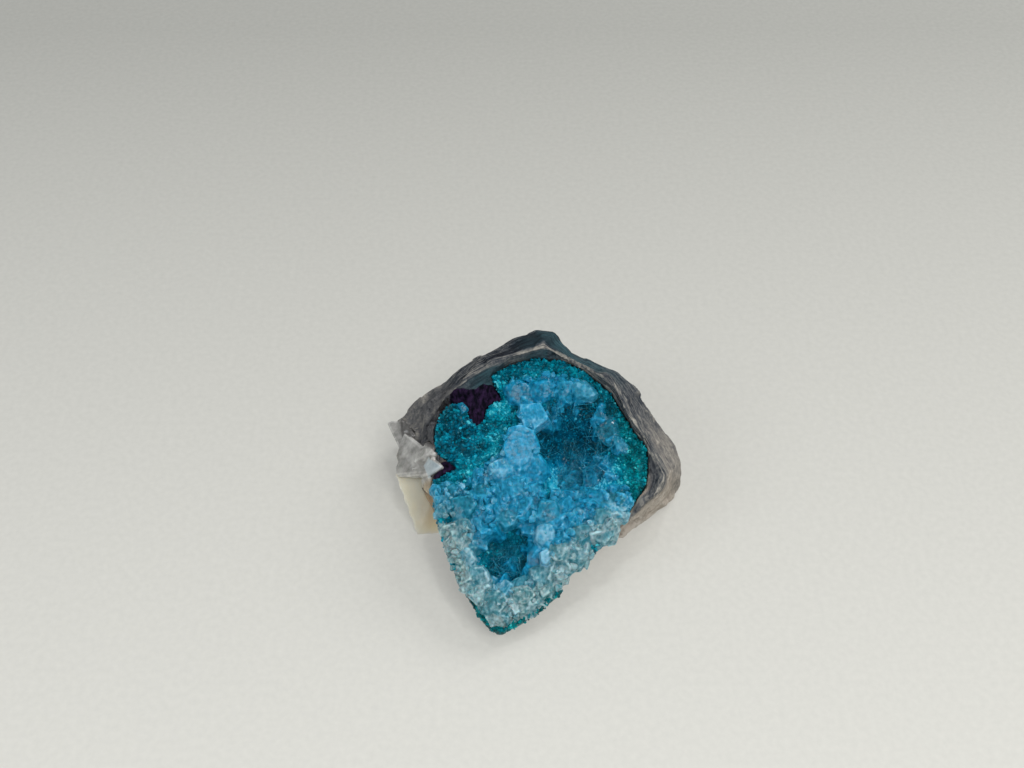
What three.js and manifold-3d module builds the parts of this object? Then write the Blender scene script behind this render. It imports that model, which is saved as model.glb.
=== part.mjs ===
// A dioptase specimen. A broken piece of streaked host rock lies on its flat base, with an
// open vug on its sloping upper face. Teal dioptase lines the vug as one crust of small
// crystals, and clear quartz has grown over the crust as one druse. Pale quartz crystals
// and a cleaved block of calcite sit on the rock's left side.
// Millimetres, with +Z up and the origin on the base.

import * as THREE from 'three';
import Module from 'manifold-3d';
import { ConvexGeometry } from 'three/addons/geometries/ConvexGeometry.js';
import { ImprovedNoise } from 'three/addons/math/ImprovedNoise.js';
import { TessellateModifier } from 'three/addons/modifiers/TessellateModifier.js';
import { mergeVertices } from 'three/addons/utils/BufferGeometryUtils.js';

// The crystal face is a plane over the base that leans down to the front. u runs to the
// right in it, v runs up it to the back, and w stands out of it.
const FACE_HEIGHT = 13.2;
const FACE_TILT_DEGREES = 21.5;
const FIELD = { width: 44, length: 54, middleV: -2 };

// The crust's top lies a little under the face, deeper at the back, with two hollows.
const CRUST_THICKNESS = 1.2;
const FRONT_LEVEL = -0.5;
const BACK_LEVEL = -2.2;
const SEAT_GAP = 0.3;
const CRUST_STEP = 2.9;
const SWELLS = [
  { u: 6, v: 4, halfWidth: 7, halfLength: 10.5, rise: -4 },
  { u: 9, v: 2.5, halfWidth: 10, halfLength: 12, rise: -2.2 },
  { u: -5, v: -14.5, halfWidth: 7.5, halfLength: 7, rise: -3.2 },
  { u: -12, v: 6.5, halfWidth: 5, halfLength: 6, rise: 1 },
  { u: -3.5, v: 4, halfWidth: 4, halfLength: 7, rise: 0.8 },
];

// The broken edge of the crust, anticlockwise from the front tip, as [u, v].
const CRUST_OUTLINE = [
  [-6, -26.5], [-3.6, -25.2], [0, -23.2], [3.7, -19.9], [3.8, -18], [6.3, -15.6], [8.9, -13.6],
  [12, -10.9], [14.8, -6.4], [17.7, -2.4], [18.6, 2.9], [18.2, 5.1], [15.1, 9.9], [12.8, 14.6],
  [8.4, 18.6], [3.5, 21], [0, 21], [-4.2, 19.8], [-7.6, 17.8], [-6, 15.2], [-4.8, 12.8],
  [-6.5, 13.1], [-8.1, 12.2], [-8.6, 9.7], [-9.9, 8.4], [-11.4, 10], [-12.6, 12.2],
  [-14.2, 12.6], [-16, 11.1], [-16.7, 8.2], [-16.5, 4.2], [-14.6, 2.5], [-12.7, 1],
  [-14.9, -0.2], [-17.2, -1.5], [-16.9, -4.7], [-15.5, -10.1], [-13.6, -15.3], [-11.4, -19.3],
  [-9.4, -23.6], [-7.5, -25.8],
];

// The rock's crest, from left to right along the back of the face, as [u, v] at w = 0.
const CREST = [
  [-13.7, 15.5], [-8.4, 19], [-3.5, 20.8], [2.2, 22.9], [6.8, 19.7], [11.8, 16.7],
  [15, 11.8], [17.4, 7.3], [19.2, 3.4], [20.9, -0.6], [19.7, -4],
];
const RIM_SLOPE = 1.15;
const RIM_DEPTH = { front: 1, back: 2.6, from: 2, to: 13 };

// The rock's front edge lies under the crust's edge, in two steps that lean back under it.
const FRONT_STEPS = [{ inset: 0.5, w: -1.7 }, { inset: 1.8, w: -3.4 }];

// Corners of the rock's outer faces, as [x, y, z].
const OUTER_CORNERS = [
  [-15.4, 20.3, 15], [-12.8, 21, 17], [-8.6, 23.8, 17.5], [-4.2, 26.1, 18], [0.8, 27.7, 18.5],
  [3.3, 27.4, 18.5], [6.5, 25, 17.8], [14.3, 20.6, 16], [15, 20, 15.5], [18.9, 17, 12],
  [21, 14.6, 10], [24.3, 11.9, 7], [25.6, 9.4, 5], [26, 7.6, 3], [-16.9, 7.5, 15.2],
  [-23.8, 14.8, 7.2], [-24.6, 16.9, 6.6], [-22.2, 17.2, 9], [-19.2, 18.3, 12],
  [6, 27.5, 7], [-9, 27, 8], [-21.5, 20, 3],
];
const BASE_CORNERS = [
  [25.6, 7.6], [23.8, 5.6], [19.6, 2], [14.2, -0.4], [10, -2.8], [4.4, -6.8], [-0.5, -11],
  [-4, -14], [-7, -14.5], [-9.5, -10.5], [-12, -4], [-16.8, 4], [-22, 13], [-21, 19],
  [-14, 24], [-4, 26.5], [8, 26], [17, 22], [24, 14],
];
const BASE_CUT = 2;
const ROCK_EDGE = 5.5;
const ROCK_ROUGHNESS = { size: 5.5, depth: 0.7 };
const BREAK_ROUGHNESS = { size: 3.5, depth: 0.5 };

// Rock under the crust, and how far its edge stays in from the crust's edge.
const BACKING = { thickness: 1.3, inset: 0.6 };

// Flakes broken off the rock: the middle of each scoop and its radii.
const FLAKES = [
  { at: [9.5, 27, 19], radii: [6, 4.2, 4] },
  { at: [18, -16.5, 2], radii: [14, 14.4, 9.5] },
  { at: [28, 1.2, 0.4], radii: [4.2, 4.6, 2.4] },
  { at: [29, 24, 5], radii: [9, 9, 9] },
  { at: [-29, 27, 7], radii: [7, 9, 6] },
  { at: [-15, 36, 9], radii: [12, 11, 8] },
  { at: [9, 38.5, 6], radii: [13, 12.4, 8] },
];

// Pale quartz crystals on the left side: root, point and radius of each.
const SIDE_CRYSTALS = [
  { root: [-20, 12.8, 5.6], point: [-26.4, 15.6, 8.2], radius: 1.9 },
  { root: [-17.5, 11, 5], point: [-24.8, 10.8, 8.2], radius: 3 },
  { root: [-17, 8, 4.4], point: [-25, 8.2, 7], radius: 2.9 },
  { root: [-15.5, 8.6, 5.6], point: [-17.8, 3, 13.6], radius: 3.2 },
  { root: [-14.5, 6, 5], point: [-20.6, 2.6, 9.8], radius: 3.1 },
];

// The cleaved calcite block: the four corners of its seen face and the way to its rear.
const CALCITE_FACE = [[-23.9, 5.2, 6], [-16, 5.6, 6.4], [-14.6, -2.4, 0], [-20.1, -2.9, 0]];
const CALCITE_BACK = [0.8, 7, 0];

// ---- making solids ----

const wasm = await Module();
wasm.setup();
const noise = new ImprovedNoise();
const faceFrame = new THREE.Matrix4()
  .makeTranslation(0, 0, FACE_HEIGHT)
  .multiply(new THREE.Matrix4().makeRotationX(THREE.MathUtils.degToRad(FACE_TILT_DEGREES)));

// A closed geometry as a manifold solid, with shared corners merged.
function solidOf(geometry) {
  const bare = geometry.clone();
  bare.deleteAttribute('normal');
  bare.deleteAttribute('uv');
  const merged = mergeVertices(bare, 1e-4);
  return new wasm.Manifold(new wasm.Mesh({
    numProp: 3,
    vertProperties: new Float32Array(merged.attributes.position.array),
    triVerts: new Uint32Array(merged.index.array),
  }));
}

function joined(solids) {
  return solids.reduce((whole, solid) => whole.add(solid));
}

function facePoint(u, v, w) {
  return new THREE.Vector3(u, v, w).applyMatrix4(faceFrame);
}

// A smooth random drift of the point, about one unit long at most.
function drift(x, y, z, size) {
  const [a, b, c] = [x / size, y / size, z / size];
  return new THREE.Vector3(
    noise.noise(a, b, c),
    noise.noise(b + 17.3, c + 5.1, a + 9.7),
    noise.noise(c + 41.9, a + 23.7, b + 3.3),
  );
}

// Splits a geometry's long edges and moves its vertices by the drift.
function roughened(geometry, longestEdge, { size, depth }) {
  const fine = mergeVertices(new TessellateModifier(longestEdge, 24).modify(geometry), 1e-4);
  const position = fine.attributes.position;
  const point = new THREE.Vector3();
  for (let i = 0; i < position.count; i += 1) {
    point.fromBufferAttribute(position, i);
    point.addScaledVector(drift(point.x, point.y, point.z, size), depth);
    point.addScaledVector(drift(point.x, point.y, point.z, size / 2.6), depth / 2);
    position.setXYZ(i, point.x, point.y, point.z);
  }
  return fine;
}

// A closed layer over the whole face between two heights that vary with u and v.
function layer(top, bottom, step) {
  const across = Math.round(FIELD.width / step);
  const along = Math.round(FIELD.length / step);
  const slab = new THREE.BoxGeometry(FIELD.width, FIELD.length, 2, across, along, 1);
  slab.translate(0, FIELD.middleV, 0);
  const position = slab.attributes.position;
  for (let i = 0; i < position.count; i += 1) {
    const [u, v] = [position.getX(i), position.getY(i)];
    position.setZ(i, position.getZ(i) > 0 ? top(u, v) : bottom(u, v));
  }
  return solidOf(slab.applyMatrix4(faceFrame));
}

// A wall of the given outline, standing through the face.
function walled(outline) {
  const shape = new THREE.Shape(outline.map(([u, v]) => new THREE.Vector2(u, v)));
  const wall = new THREE.ExtrudeGeometry(shape, { depth: 24, bevelEnabled: false });
  return solidOf(wall.translate(0, 0, -14).applyMatrix4(faceFrame));
}

// The outline with a ragged break between its corners.
function ragged(outline, step, depth) {
  const points = [];
  outline.forEach(([u, v], i) => {
    const [nextU, nextV] = outline[(i + 1) % outline.length];
    const pieces = Math.max(1, Math.round(Math.hypot(nextU - u, nextV - v) / step));
    for (let k = 0; k < pieces; k += 1) {
      const [x, y] = [u + (nextU - u) * k / pieces, v + (nextV - v) * k / pieces];
      const shift = drift(x, y, 0.5, 2.3);
      points.push([x + shift.x * depth, y + shift.y * depth]);
    }
  });
  return points;
}

// The anticlockwise outline moved outward by the distance.
function grown(outline, distance) {
  return outline.map(([u, v], i) => {
    const [lastU, lastV] = outline.at(i - 1);
    const [nextU, nextV] = outline[(i + 1) % outline.length];
    const along = new THREE.Vector2(nextU - lastU, nextV - lastV).normalize();
    return [u + along.y * distance, v - along.x * distance];
  });
}

function swell(u, v, { u: middleU, v: middleV, halfWidth, halfLength }) {
  const away = Math.hypot((u - middleU) / halfWidth, (v - middleV) / halfLength);
  return THREE.MathUtils.smoothstep(1 - away, 0, 0.75);
}

// The height of the crust's top in the face's frame.
function crustTop(u, v) {
  const back = THREE.MathUtils.smoothstep(v, -12, 14);
  let w = THREE.MathUtils.lerp(FRONT_LEVEL, BACK_LEVEL, back);
  for (const place of SWELLS) {
    w += place.rise * swell(u, v, place);
  }
  return w + 0.3 * drift(u, v, 3.7, 1.9).z;
}

// How far a point of the face lies inside the crest, negative outside it.
function insideCrest(u, v) {
  let nearest = Infinity;
  let side = 1;
  for (let i = 0; i + 1 < CREST.length; i += 1) {
    const [startU, startV] = CREST[i];
    const [du, dv] = [CREST[i + 1][0] - startU, CREST[i + 1][1] - startV];
    const share = ((u - startU) * du + (v - startV) * dv) / (du * du + dv * dv);
    const along = THREE.MathUtils.clamp(share, 0, 1);
    const away = Math.hypot(u - startU - du * along, v - startV - dv * along);
    if (away < nearest) {
      nearest = away;
      side = Math.sign(dv * (u - startU) - du * (v - startV)) || 1;
    }
  }
  return nearest * side;
}

// The height of the rock inside the crest, where it slopes down to the crust.
function rimHeight(u, v) {
  const inside = insideCrest(u, v);
  const back = THREE.MathUtils.smoothstep(v, RIM_DEPTH.from, RIM_DEPTH.to);
  const depth = THREE.MathUtils.lerp(RIM_DEPTH.front, RIM_DEPTH.back, back);
  return Math.max(-depth, -RIM_SLOPE * inside);
}

// A six-sided crystal along +Z from below its seat to a point, grown by the gap if asked.
function crystal(radius, root, length, point, gap = 0) {
  const corners = [new THREE.Vector3(radius * 0.12, -radius * 0.08, length + gap * 1.6)];
  for (let k = 0; k < 6; k += 1) {
    const angle = (k + 0.25 * Math.sin(k * 2.4)) * Math.PI / 3;
    const reach = radius * (1 + 0.12 * Math.cos(k * 1.9)) + gap * 1.2;
    const side = new THREE.Vector3(reach * Math.cos(angle), reach * Math.sin(angle), 0);
    corners.push(side.clone().setZ(-root - gap), side.setZ(length - point));
  }
  return new ConvexGeometry(corners);
}

function standing(geometry, position, direction, turn) {
  const up = new THREE.Vector3(0, 0, 1);
  const stand = new THREE.Quaternion().setFromUnitVectors(up, direction.clone().normalize());
  return geometry.rotateZ(turn).applyQuaternion(stand).translate(...position.toArray());
}

// ---- where the crystals grow ----

// The edge of the quartz, anticlockwise from the front tip, as [u, v]. Outside it the
// dioptase is bare: the round lobe at the left, the bright band beside it, and the strips
// along the back and right rims.
const QUARTZ_OUTLINE = [
  [-6, -25.9], [-3.5, -24.7], [0, -22.7], [3.2, -19.8], [3.4, -17.8], [6, -15.3], [8.7, -13.2],
  [11.7, -10.5], [14.4, -6.3], [15.4, -3.4], [13.4, -0.8], [14.4, 3], [13.4, 9], [11.2, 13.4],
  [7.5, 17], [3.5, 18.2], [-1, 18.2], [-4.4, 17.4], [-3.9, 14], [-3.6, 9.5], [-5.8, 4.5],
  [-8.6, 1.4], [-11.8, -1.1], [-16.8, -2.4], [-16.5, -5], [-15.1, -10.2], [-13.2, -15.2],
  [-11, -19.4], [-9, -23.4],
];
const QUARTZ_THICKNESS = 0.3;

// The largest quartz crystals, as [u, v, radius, length].
const LARGE_QUARTZ = [
  [-0.5, 10.3, 3, 3.4], [-3.4, 5.6, 2.9, 3.2], [-2.5, 2.2, 2.8, 3], [-6, 0.6, 2.4, 2.6],
  [1.2, 1.2, 2.4, 3], [7, 15.2, 2.3, 3], [10, 13.6, 2, 2.6], [2.2, 15.6, 2.3, 2.7],
  [-2, 16, 2.4, 2.4], [-12.4, -6, 2.9, 3], [-8.6, -8.2, 2.4, 2.8], [-12, -13.6, 2.3, 3],
  [-9.4, -19, 2.4, 2.8], [-6, -22.6, 2.4, 2.7], [-1.4, -20.2, 2.4, 2.9], [2.4, -14.8, 2.8, 3.2],
  [1.4, -9, 2.7, 3], [6, -10.4, 2.6, 2.8], [10.4, -7.8, 2.4, 2.8], [13.6, -4.8, 2.2, 2.5],
];
const QUARTZ_SPACING = 3.7;
const DIOPTASE_SPACING = 2.1;
const SEED = 41;

function isWithin(outline, u, v) {
  let within = false;
  outline.forEach(([startU, startV], i) => {
    const [endU, endV] = outline[(i + 1) % outline.length];
    const crosses = (startV > v) !== (endV > v);
    if (crosses && u < startU + (endU - startU) * (v - startV) / (endV - startV)) {
      within = !within;
    }
  });
  return within;
}

// The direction straight out of the crust at a point.
function crustNormal(u, v) {
  const reach = 1.2;
  const slopeU = (crustTop(u + reach, v) - crustTop(u - reach, v)) / (2 * reach);
  const slopeV = (crustTop(u, v + reach) - crustTop(u, v - reach)) / (2 * reach);
  return new THREE.Vector3(-slopeU, -slopeV, 1).transformDirection(faceFrame);
}

const random = THREE.MathUtils.seededRandom;
random(SEED);

// Places in staggered rows over the face, each a little off its row.
function scattered(spacing, wanted) {
  const places = [];
  for (let row = 0; row * spacing * 0.87 < FIELD.length; row += 1) {
    for (let column = 0; column * spacing < FIELD.width; column += 1) {
      const u = (column + (row % 2) / 2) * spacing - FIELD.width / 2;
      const v = row * spacing * 0.87 - FIELD.length / 2 + FIELD.middleV;
      const place = [u + (random() - 0.5) * spacing * 0.5, v + (random() - 0.5) * spacing * 0.5];
      if (wanted(...place)) {
        places.push(place);
      }
    }
  }
  return places;
}

function grownCrystal([u, v, radius, length], root, point, lean) {
  const direction = crustNormal(u, v);
  direction.add(new THREE.Vector3(random() - 0.5, random() - 0.5, random() - 0.5)
    .multiplyScalar(lean));
  const shape = crystal(radius, root, length, point);
  return solidOf(standing(shape, facePoint(u, v, crustTop(u, v)), direction, random() * 3));
}

const smallQuartz = scattered(QUARTZ_SPACING, (u, v) => (
  isWithin(QUARTZ_OUTLINE, u, v)
  && LARGE_QUARTZ.every(([atU, atV, radius]) => Math.hypot(u - atU, v - atV) > radius)
)).map(([u, v]) => [u, v, 1.8 + random() * 0.7, 1.7 + random() * (crustTop(u, v) < -3 ? 0.3 : 1.4)]);
const allQuartz = [...LARGE_QUARTZ, ...smallQuartz];

const dioptasePlaces = scattered(DIOPTASE_SPACING, (u, v) => (
  isWithin(grown(CRUST_OUTLINE, -0.4), u, v)
  && !isWithin(grown(QUARTZ_OUTLINE, 1.2), u, v)
  && allQuartz.every(([atU, atV, radius]) => Math.hypot(u - atU, v - atV) > radius + 1.4)
)).map(([u, v]) => [u, v, 0.8 + random() * 0.4, 0.7 + random() * 0.6]);

// ---- the pieces ----

const crustWall = walled(ragged(CRUST_OUTLINE, 3, 0.5));
const pocketWall = walled(grown(ragged(CRUST_OUTLINE, 3, 0.5), SEAT_GAP + 0.05));
const underCrust = (u, v) => crustTop(u, v) - CRUST_THICKNESS;

function pocket() {
  const above = layer(() => 9, (u, v) => underCrust(u, v) - SEAT_GAP, CRUST_STEP);
  return above.intersect(pocketWall);
}

function dioptaseCrust() {
  const skin = layer(crustTop, underCrust, CRUST_STEP);
  const crystals = dioptasePlaces.map((place) => grownCrystal(place, 0.6, place[2], 0.7));
  return joined([skin, ...crystals]).intersect(crustWall);
}

function quartzDruse() {
  const skinTop = (u, v) => crustTop(u, v) + SEAT_GAP + QUARTZ_THICKNESS;
  const skin = layer(skinTop, underCrust, CRUST_STEP).intersect(walled(QUARTZ_OUTLINE));
  const crystals = allQuartz.map((place) => grownCrystal(place, 0.9, place[2] * 0.7, 0.6));
  const below = layer((u, v) => crustTop(u, v) + SEAT_GAP, () => -17, CRUST_STEP);
  return joined([skin, ...crystals]).subtract(below).intersect(crustWall);
}

function sideCrystals(gap) {
  return joined(SIDE_CRYSTALS.map(({ root, point, radius }) => {
    const start = new THREE.Vector3(...root);
    const direction = new THREE.Vector3(...point).sub(start);
    const shape = crystal(radius, 0.5, direction.length(), radius * 0.9, gap);
    return solidOf(standing(shape, start, direction, radius));
  }));
}

// The block as a hull of its corners, moved out from its middle if a gap is asked.
function calciteBlock(gap) {
  const back = new THREE.Vector3(...CALCITE_BACK);
  const face = CALCITE_FACE.map((corner) => new THREE.Vector3(...corner));
  const rear = face.map((corner) => corner.clone().add(back).setZ(Math.max(corner.z - 1.2, 0)));
  const corners = [...face, ...rear];
  const middle = new THREE.Vector3();
  corners.forEach((corner) => middle.addScaledVector(corner, 1 / corners.length));
  corners.forEach((corner) => {
    const outward = corner.clone().sub(middle).normalize();
    corner.addScaledVector(outward, gap * 2.4);
  });
  return solidOf(new ConvexGeometry(corners));
}

const belowBase = solidOf(new THREE.BoxGeometry(80, 80, 10).translate(0, 0, -5));

function flake({ at, radii }) {
  const scoop = new THREE.IcosahedronGeometry(1, 1).scale(...radii);
  return solidOf(roughened(scoop.translate(...at), ROCK_EDGE, BREAK_ROUGHNESS));
}

// The rock right under the crust, which follows its shape out to near its edge.
function backing() {
  const under = layer(underCrust, (u, v) => underCrust(u, v) - BACKING.thickness, CRUST_STEP);
  return under.intersect(walled(ragged(grown(CRUST_OUTLINE, -BACKING.inset), 3, 0.5)));
}

function hostRock() {
  const front = FRONT_STEPS.flatMap(({ inset, w }) => (
    grown(CRUST_OUTLINE, -inset).filter(([, v]) => v < -2).map(([u, v]) => facePoint(u, v, w))
  ));
  const crest = CREST.map(([u, v]) => facePoint(u, v, 0));
  const outer = OUTER_CORNERS.map((corner) => new THREE.Vector3(...corner));
  const base = BASE_CORNERS.map(([x, y]) => new THREE.Vector3(x, y, -BASE_CUT));
  const whole = new ConvexGeometry([...front, ...crest, ...outer, ...base]);
  const rough = solidOf(roughened(whole, ROCK_EDGE, ROCK_ROUGHNESS));
  const rimCut = layer(() => 9, rimHeight, CRUST_STEP);
  const broken = [rimCut, ...FLAKES.map(flake)]
    .reduce((rock, cutter) => rock.subtract(cutter), rough);
  const seats = [pocket(), sideCrystals(SEAT_GAP), calciteBlock(SEAT_GAP), belowBase];
  return seats.reduce((rock, cutter) => rock.subtract(cutter), broken.add(backing()));
}

// The largest closed body of a solid, as a geometry. Crumbs cut loose are left out.
function largestBody(solid) {
  const mesh = solid.getMesh();
  const owner = Array.from({ length: mesh.numVert }, (_, i) => i);
  const find = (i) => {
    let at = i;
    while (owner[at] !== at) {
      owner[at] = owner[owner[at]];
      at = owner[at];
    }
    return at;
  };
  const corners = mesh.triVerts;
  for (let i = 0; i < corners.length; i += 3) {
    owner[find(corners[i])] = find(corners[i + 1]);
    owner[find(corners[i + 1])] = find(corners[i + 2]);
  }
  const counts = new Map();
  for (let i = 0; i < corners.length; i += 3) {
    const body = find(corners[i]);
    counts.set(body, (counts.get(body) ?? 0) + 1);
  }
  const [largest] = [...counts].sort((a, b) => b[1] - a[1])[0];
  const kept = [];
  for (let i = 0; i < corners.length; i += 3) {
    if (find(corners[i]) === largest) {
      kept.push(corners[i], corners[i + 1], corners[i + 2]);
    }
  }
  const geometry = new THREE.BufferGeometry();
  geometry.setAttribute('position', new THREE.BufferAttribute(mesh.vertProperties, 3));
  geometry.setIndex(kept);
  return geometry;
}

function piece(name, solid, color, roughness) {
  const material = new THREE.MeshStandardMaterial({ color, roughness, metalness: 0 });
  const mesh = new THREE.Mesh(largestBody(solid), material);
  mesh.name = name;
  return mesh;
}

const specimen = new THREE.Group();
specimen.add(
  piece('host_rock', hostRock(), '#8b8882', 0.75),
  piece('dioptase_crust', dioptaseCrust(), '#0b6a78', 0.35),
  piece('quartz_druse', quartzDruse(), '#5aa6c0', 0.15),
  piece('pale_quartz_crystals', sideCrystals(0).subtract(pocket()), '#a9aaa4', 0.3),
  piece('calcite_slab', calciteBlock(0).subtract(sideCrystals(SEAT_GAP)), '#b3a78c', 0.4),
);

export default specimen;
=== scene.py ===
import itertools
import math

import bmesh
import bpy
import numpy as np
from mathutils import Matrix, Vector, noise
from mathutils.bvhtree import BVHTree


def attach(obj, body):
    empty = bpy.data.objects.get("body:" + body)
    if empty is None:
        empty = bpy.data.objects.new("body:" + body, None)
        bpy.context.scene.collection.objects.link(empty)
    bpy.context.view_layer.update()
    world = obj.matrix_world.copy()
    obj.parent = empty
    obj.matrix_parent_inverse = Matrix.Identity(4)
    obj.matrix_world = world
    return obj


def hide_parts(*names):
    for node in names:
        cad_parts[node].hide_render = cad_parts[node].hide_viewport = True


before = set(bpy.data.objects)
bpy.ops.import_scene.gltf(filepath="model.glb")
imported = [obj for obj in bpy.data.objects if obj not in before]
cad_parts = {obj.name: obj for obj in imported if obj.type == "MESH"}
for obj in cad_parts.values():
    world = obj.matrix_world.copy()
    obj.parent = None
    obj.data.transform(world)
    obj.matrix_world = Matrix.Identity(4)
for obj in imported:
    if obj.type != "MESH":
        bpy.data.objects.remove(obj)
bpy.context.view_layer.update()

# ---- Host rock ----
# The rock that the vug sits in: smoky, quartz-rich and drawn out in streaks that run along
# its crest. It was broken out by hand, so its outside is ledges and shell-shaped breaks.
MM = 0.001
QUARTZ_IOR = 1.54
FACE_HEIGHT = 13.2 * MM
FACE_TILT = math.radians(21.5)
ROCK_GRAIN = 0.3 * MM
ROCK_ROUNDING = 2
ROCK_SHARP = math.radians(36)
CREST = np.array([
    (-23, 6), (-18.5, 12), (-13.7, 15.8), (-8.4, 19), (-3.5, 20.8), (2.2, 22.9), (6.8, 19.7),
    (11.8, 16.7), (15, 11.8), (17.4, 7.3), (19.2, 3.4), (20.9, -0.6), (19.7, -4),
]) * MM
CREST_START, CREST_PEAK = 2, 5
VIOLET_PATCH = np.array([
    (-14.4, 14.9), (-9.9, 15.1), (-8.9, 16.3), (-7.5, 16.4), (-5.0, 14.4), (-3.8, 11.4),
    (-7.4, 11.4), (-8, 8), (-10, 7), (-12.4, 9), (-14.4, 12), (-14.4, 14.9),
]) * MM
ROUGH_PATCH = np.array([
    (17.2, 3.6), (18.2, 3.6), (21, 1), (18.8, -2.8), (17.4, -2.4), (17.2, 3.6),
]) * MM
TAN_PATCH = np.array((-16.6, 0.6, 3.4)) * MM
LUMP_HEIGHT, LUMP_SIZE = 0.14 * MM, 3 * MM
RIB_HEIGHT, RIB_SPACING = 0.09 * MM, 1.3 * MM
STREAK_HEIGHT, STREAK_SPACING = 0.05 * MM, 0.9 * MM
CREST_RISE, CREST_FALL = 0.6 * MM, 1.1 * MM
CHIPS = 520
CHIP_WIDTH = (1 * MM, 7 * MM)
CHIP_DEPTH = 0.6 * MM
CHIP_REACH = 1.5 * MM
CHIP_HOLLOW = (0.04, 0.11)

draws = np.random.default_rng(17)


def face_coordinates(points):
    """Points as u to the right in the crystal face, v up it, and w out of it."""
    y, z = points[:, 1], points[:, 2] - FACE_HEIGHT
    sine, cosine = math.sin(FACE_TILT), math.cos(FACE_TILT)
    return np.stack([points[:, 0], y * cosine + z * sine, z * cosine - y * sine], axis=1)


def beside(line, places):
    """How far places lie to the right of a line on the face, and how far along it."""
    nearest = np.full(len(places), np.inf)
    side = np.ones(len(places))
    along = np.zeros(len(places))
    passed = 0.0
    for start, end in zip(line[:-1], line[1:]):
        way = end - start
        length = np.linalg.norm(way)
        share = np.clip((places - start) @ way / length**2, 0, 1)
        offset = places - start - share[:, None] * way
        away = np.linalg.norm(offset, axis=1)
        closer = away < nearest
        nearest[closer] = away[closer]
        turn = way[1] * (places[:, 0] - start[0]) - way[0] * (places[:, 1] - start[1])
        side[closer] = np.where(turn[closer] < 0, -1, 1)
        along[closer] = passed + share[closer] * length
        passed += length
    return nearest * side, along


def within(loop, places):
    """How far places lie inside a closed line on the face."""
    nearest = np.abs(beside(loop, places)[0])
    crossed = np.zeros(len(places), int)
    for start, end in zip(loop[:-1], loop[1:]):
        spans = (start[1] > places[:, 1]) != (end[1] > places[:, 1])
        rise = np.where(end[1] == start[1], 1, end[1] - start[1])
        reach = start[0] + (places[:, 1] - start[1]) / rise * (end[0] - start[0])
        crossed += spans & (places[:, 0] < reach)
    return np.where(crossed % 2 == 1, nearest, -nearest)


def smooth(values, low, high):
    """Values as 0 at low, 1 at high and an even curve between."""
    share = np.clip((values - low) / (high - low), 0, 1)
    return share * share * (3 - 2 * share)


def rising(lengths, low, high):
    """Lengths as 0 at low and 1 at high, which are in millimetres."""
    return smooth(lengths, low * MM, high * MM)


def fading(lengths, low, high):
    """Lengths as 1 at low and 0 at high, which are in millimetres."""
    return 1 - rising(lengths, low, high)


def drift(points, size, octaves=3):
    """Fractal noise at points, about -1 to 1, with lumps of one size."""
    return np.array([
        noise.fractal(Vector(point), 0.9, 2.1, octaves) for point in points / size
    ])


def ridges(points, size, octaves=3):
    """Sharp-crested noise at points, about -1 to 1, with crests of one spacing."""
    return np.array([
        noise.ridged_multi_fractal(Vector(point), 1.0, 2.1, octaves, 0.9, 2.0)
        for point in points / size
    ]) - 1


def joined_mesh(name, groups):
    """One mesh of several groups of points and faces."""
    points, faces = [], []
    start = 0
    for group_points, group_faces in groups:
        points.append(group_points)
        faces += [tuple(i + start for i in face) for face in group_faces]
        start += len(group_points)
    mesh = bpy.data.meshes.new(name)
    mesh.from_pydata(np.vstack(points).tolist(), [], faces)
    mesh.update()
    return mesh


def added(name, data):
    """A new object in the scene."""
    made = bpy.data.objects.new(name, data)
    bpy.context.scene.collection.objects.link(made)
    return made


def evened_mesh(name, groups, grain, rounding=0):
    """Closed forms fused into one even mesh of small faces, with its corners rounded."""
    coarse = added(name + "_coarse", joined_mesh(name, groups))
    even = coarse.modifiers.new("even", "REMESH")
    even.mode = "VOXEL"
    even.voxel_size = grain
    even.use_smooth_shade = True
    if rounding:
        rounded = coarse.modifiers.new("rounded", "SMOOTH")
        rounded.factor = 0.5
        rounded.iterations = rounding
    view = bpy.context.evaluated_depsgraph_get()
    even_mesh = bpy.data.meshes.new_from_object(coarse.evaluated_get(view))
    bpy.data.objects.remove(coarse)
    return even_mesh


def faces_of(mesh):
    """A mesh's faces, each as the numbers of its vertices."""
    return [tuple(polygon.vertices) for polygon in mesh.polygons]


def solid_of(node):
    """A frame node's solid, as points and faces."""
    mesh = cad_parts[node].data
    return np.array([vertex.co[:] for vertex in mesh.vertices]), faces_of(mesh)


def vertices_of(mesh):
    """A mesh's vertices and their normals, as two tables."""
    points = np.zeros(len(mesh.vertices) * 3, np.float32)
    mesh.vertices.foreach_get("co", points)
    normals = np.zeros(len(mesh.vertices) * 3, np.float32)
    mesh.vertex_normals.foreach_get("vector", normals)
    return points.reshape(-1, 3).astype(float), normals.reshape(-1, 3).astype(float)


def moved(mesh, points):
    """Moves a mesh's vertices to the points."""
    mesh.vertices.foreach_set("co", points.astype(np.float32).ravel())
    mesh.update()


def around(mesh):
    """A function that gives each vertex the mean of its neighbours' values."""
    ends = np.zeros(len(mesh.edges) * 2, np.int32)
    mesh.edges.foreach_get("vertices", ends)
    first, second = ends.reshape(-1, 2).T
    near = np.bincount(ends, minlength=len(mesh.vertices))

    def mean_of(values):
        total = np.bincount(first, values[second], len(values))
        return (total + np.bincount(second, values[first], len(values))) / near

    return lambda values: np.apply_along_axis(mean_of, 0, values)


def bulge(mesh, rounds):
    """How far each vertex stands out of its neighbours, evened out a few times."""
    mean_of = around(mesh)
    points, normals = vertices_of(mesh)
    out = ((points - mean_of(points)) * normals).sum(axis=1)
    for _ in range(rounds):
        out = (out + mean_of(out)) / 2
    return out


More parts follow.
